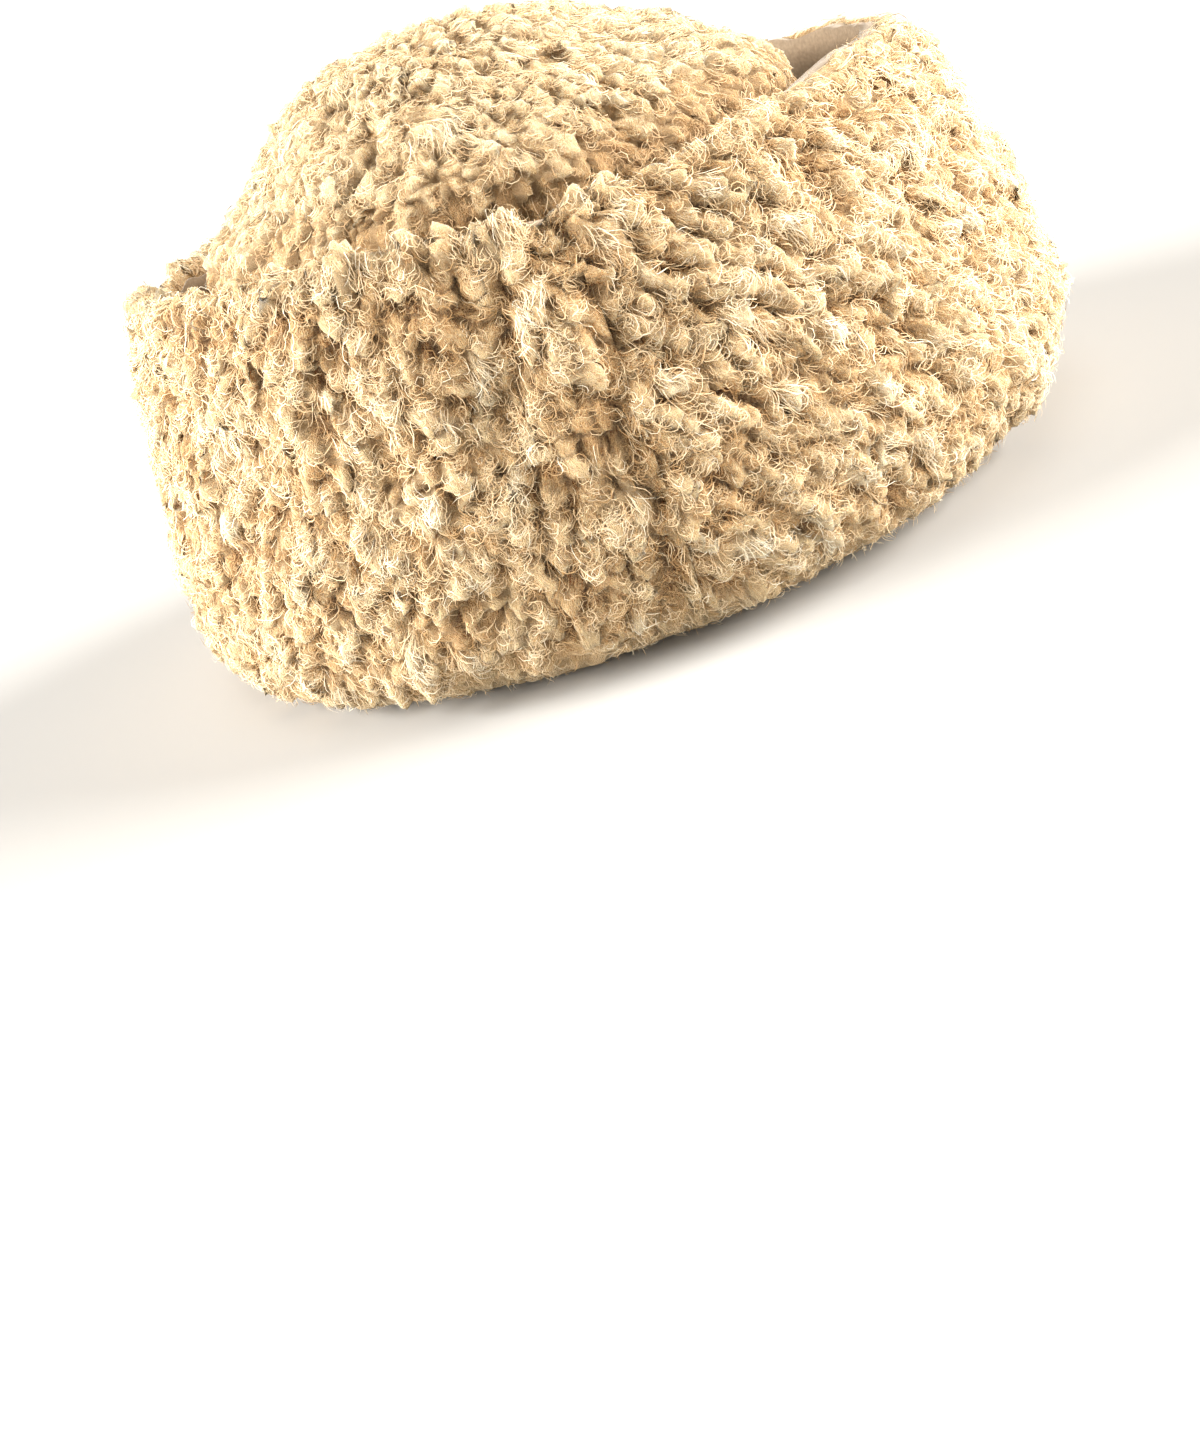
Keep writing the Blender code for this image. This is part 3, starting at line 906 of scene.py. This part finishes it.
CURL = (0.0042, 0.0075)
CURL_RADIUS = (0.0009, 0.0024)
LIFT = (0.0002, 0.0010)
WISP = (0.0045, 0.0090)
WISP_RADIUS = (0.0012, 0.0040)
WISP_LIFT = (0.0005, 0.0019)
CURL_WIDTH = 0.00019
CROWN_CURL_WIDTH = 0.00018
WISP_WIDTH = 0.00014
# fibres on each half of the cuff, and on the crown
CUFF_CURLS, CUFF_WISPS, CUFF_FRINGE, CROWN_CURLS = 21500, 8300, 1500, 15500

for name, face, seed in (("front", front_face, 21), ("back", back_face, 31)):
    fibres(f"cuff_{name}_curls", face, CUFF_CURLS, CURL, CURL_RADIUS, CURL_WIDTH, LIFT, 0.08,
           cuff_fibre, seed)
    fibres(f"cuff_{name}_wisps", face, CUFF_WISPS, WISP, WISP_RADIUS, WISP_WIDTH, WISP_LIFT, 0.45,
           cuff_fibre, seed + 1)
    rim_face = {**face, "short": face["fringe"]}
    fibres(f"cuff_{name}_fringe", rim_face, CUFF_FRINGE, WISP, WISP_RADIUS, WISP_WIDTH, WISP_LIFT,
           0.9, cuff_fibre, seed + 2)
fibres("crown_curls", crown_face, CROWN_CURLS, CURL, CURL_RADIUS, CROWN_CURL_WIDTH, LIFT, 0.12,
       crown_fibre, 41)

# %% [markdown]
# ## The facing
#
# The inner face of the cuff is a smooth taupe cloth with a short nap. It is a thin closed shell
# that follows the cuff's inner face from under the rim down to the seam at the head opening.
# Its nap is bump and soft clouds of colour, with a few short fibres near its upper end, where it
# shows from close by.

# %% Facing
TAUPE = (0.250, 0.190, 0.130)
TAUPE_LIGHT = (0.350, 0.275, 0.195)
# the facing's upper end: height in shares of CUFF_HEIGHT, inset in walls of the cuff
FACING_TOP_FRONT = ((0.996, 0.22), (1.002, 0.38), (0.992, 0.72), (0.950, 1.03))
FACING_TOP_SIDE = ((0.980, 0.44), (0.983, 0.60), (0.972, 0.86), (0.950, 1.03))
FACING_TOP_REAR = ((0.975, 0.97), (0.968, 1.00), (0.960, 1.02), (0.950, 1.03))
FACING_EDGE = 0.0004
FACING_ROWS = 26
FACING_DEPTH = 0.115
# the facing thickens, and its edge's waves fade out, over this depth below its upper end
EDGE_DEPTH = 0.012
EDGE_DROP = 0.0006
RIPPLE = 0.0005
NAP_DEPTH = 0.030
NAP_FIBRES = 3500
NAP_LENGTH = (0.0020, 0.0045)
NAP_RADIUS = (0.0010, 0.0030)
NAP_WIDTH = 0.00012
NAP_LIFT = (0.0001, 0.0006)


def facing_material():
    material, tree, shader = new_material(
        "facing_cloth", 0.88, Sheen_Weight=0.2, Sheen_Roughness=0.35, Specular_IOR_Level=0.2
    )
    nap = noise(tree, 0.0012, 3.0)
    clouds = noise(tree, 0.014, 3.0)
    feed(shader, "Base Color", (nap * 0.6 + clouds * 0.4).ramp(0.3, 0.7).mix(TAUPE, TAUPE_LIGHT))
    bump = add_node(
        tree, "ShaderNodeBump", {}, {"Strength": 0.5, "Distance": 0.0003, "Height": nap}
    )
    feed(shader, "Normal", bump)
    return material


def facing_ovals(top):
    """The facing's side against the cuff, from its upper end down to the seam."""
    rows = []
    for height, walls in top:
        row = inset(at_height(cuff_curve, height * CUFF_HEIGHT), walls * CUFF_WALL + SEWN_GAP)
        row[0] = height * CUFF_HEIGHT
        rows.append(row)
    rows = curve_through(np.vstack([rows, inner_ovals(SEWN_GAP)[1:]]), 6)
    edge = inset(head, -CROWN_WALL - SEWN_GAP)
    edge[0] = rows[-1, 0]
    return evenly(np.vstack([rows, (rows[-1] + edge) / 2, edge]), count=FACING_ROWS)


def facing():
    turns = np.linspace(0, 2 * math.pi, 240, endpoint=False)
    front, sides, rear = (
        points_on(facing_ovals(top), turns, True)
        for top in (FACING_TOP_FRONT, FACING_TOP_SIDE, FACING_TOP_REAR)
    )
    points = rear + (sides - rear) * round_front(turns, FACING_ROLLS_TO)[None, :, None]
    points += (front - sides) * round_front(turns, FRONT_TO)[None, :, None]
    _, _, out = grid_axes(points, True)
    ripple = wave_noise(points, 0.030, 31) * RIPPLE
    depth = np.linspace(0, FACING_DEPTH, len(points))[:, None]
    drop = EDGE_DROP + wave_noise(points, 0.02, 32) * EDGE_DROP
    points[..., 2] -= np.clip(1 - depth / EDGE_DEPTH, 0, 1) * drop
    wall = FACING_EDGE + (FACING_WALL - FACING_EDGE + ripple) * np.clip(depth / EDGE_DEPTH, 0, 1)
    shown = points - out * wall[..., None]
    grid = np.concatenate([points, shown[::-1]])
    faces = loft_faces(len(grid), len(turns), True, True)
    piece = mesh_from("cuff_facing_cloth", grid.reshape(-1, 3), faces, facing_material())
    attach(piece, "root")
    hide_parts("cuff_facing")
    print("facing faces:", len(piece.data.polygons))
    near_top = np.clip(1 - depth / NAP_DEPTH, 0, 1) + 0 * wall
    return {"points": shown, "out": -out, "ways": -out, "tip": 0.55 + 0 * wall,
            "glint": 0 * wall, "closed": True, "short": near_top}


facing_face = facing()
nap_fibre = fibre_material("facing_fibre", TAUPE, (0.52, 0.42, 0.31))
fibres("cuff_facing_nap", facing_face, NAP_FIBRES, NAP_LENGTH, NAP_RADIUS, NAP_WIDTH, NAP_LIFT,
       0.25, nap_fibre, 51)

# %% [markdown]
# ## Floor and light
#
# The hat stands on a plain pale floor. Far away the floor slopes up like a very flat bowl, so that
# it also fills the background and no horizon shows. Area lamps would leave the far floor dark, so
# four wide suns are used: one at each end of the hat, which makes the ends very bright as in the
# photograph, a weaker one above, and a faint low one on the near side.

# %% Floor and light
FLAT_TO = 0.8
SLOPE = math.radians(24)


def floor():
    turns = np.linspace(0, 2 * math.pi, 96, endpoint=False)
    slopes = np.linspace(0, SLOPE, 40)
    steps = np.concatenate([np.full(40, 0.05), [14.0]])
    slopes = np.append(slopes, SLOPE)
    radii = np.concatenate([[FLAT_TO], FLAT_TO + np.cumsum(steps * np.cos(slopes))])
    heights = np.concatenate([[0], np.cumsum(steps * np.sin(slopes))])
    x = radii[:, None] * np.cos(turns)
    y = radii[:, None] * np.sin(turns)
    grid = np.stack([x, y, heights[:, None] + 0 * x], 2)
    faces = loft_faces(len(radii), len(turns), False, True)[:, ::-1].tolist()
    faces.append(list(range(len(turns))))
    material, _, shader = new_material("floor", 0.9, Specular_IOR_Level=0.1)
    shader.inputs["Base Color"].default_value = (0.44, 0.44, 0.437, 1)
    item = mesh_from("floor", grid.reshape(-1, 3), faces, material, smooth=False)
    # its far slope would hide the low suns
    item.visible_shadow = False


def wide_sun(name, place, strength, spread, colour):
    """A lamp that shines evenly everywhere, from the side where place lies."""
    lamp = bpy.data.lights.new(name, "SUN")
    lamp.energy = strength
    lamp.angle = math.radians(spread)
    lamp.color = colour
    item = bpy.data.objects.new(name, lamp)
    item.location = place
    item.rotation_mode = "QUATERNION"
    item.rotation_quaternion = (-Vector(place)).to_track_quat("-Z", "Y")
    bpy.context.scene.collection.objects.link(item)


floor()
world = bpy.data.worlds.new("studio")
world.use_nodes = True
world.node_tree.nodes["Background"].inputs["Color"].default_value = (1.0, 0.985, 0.96, 1)
world.node_tree.nodes["Background"].inputs["Strength"].default_value = 0.05
bpy.context.scene.world = world
wide_sun("light_front", (-0.05, -1.00, 0.38), 11.5, 40, (1.0, 0.96, 0.90))
wide_sun("light_rear", (0.08, 1.00, 0.36), 11.5, 40, (1.0, 0.96, 0.90))
wide_sun("light_above", (-0.10, 0.00, 1.00), 1.1, 40, (1.0, 0.97, 0.92))
wide_sun("light_near", (-1.00, -0.05, 0.05), 0.20, 50, (1.0, 0.96, 0.90))
bpy.context.scene.view_settings.view_transform = "Standard"
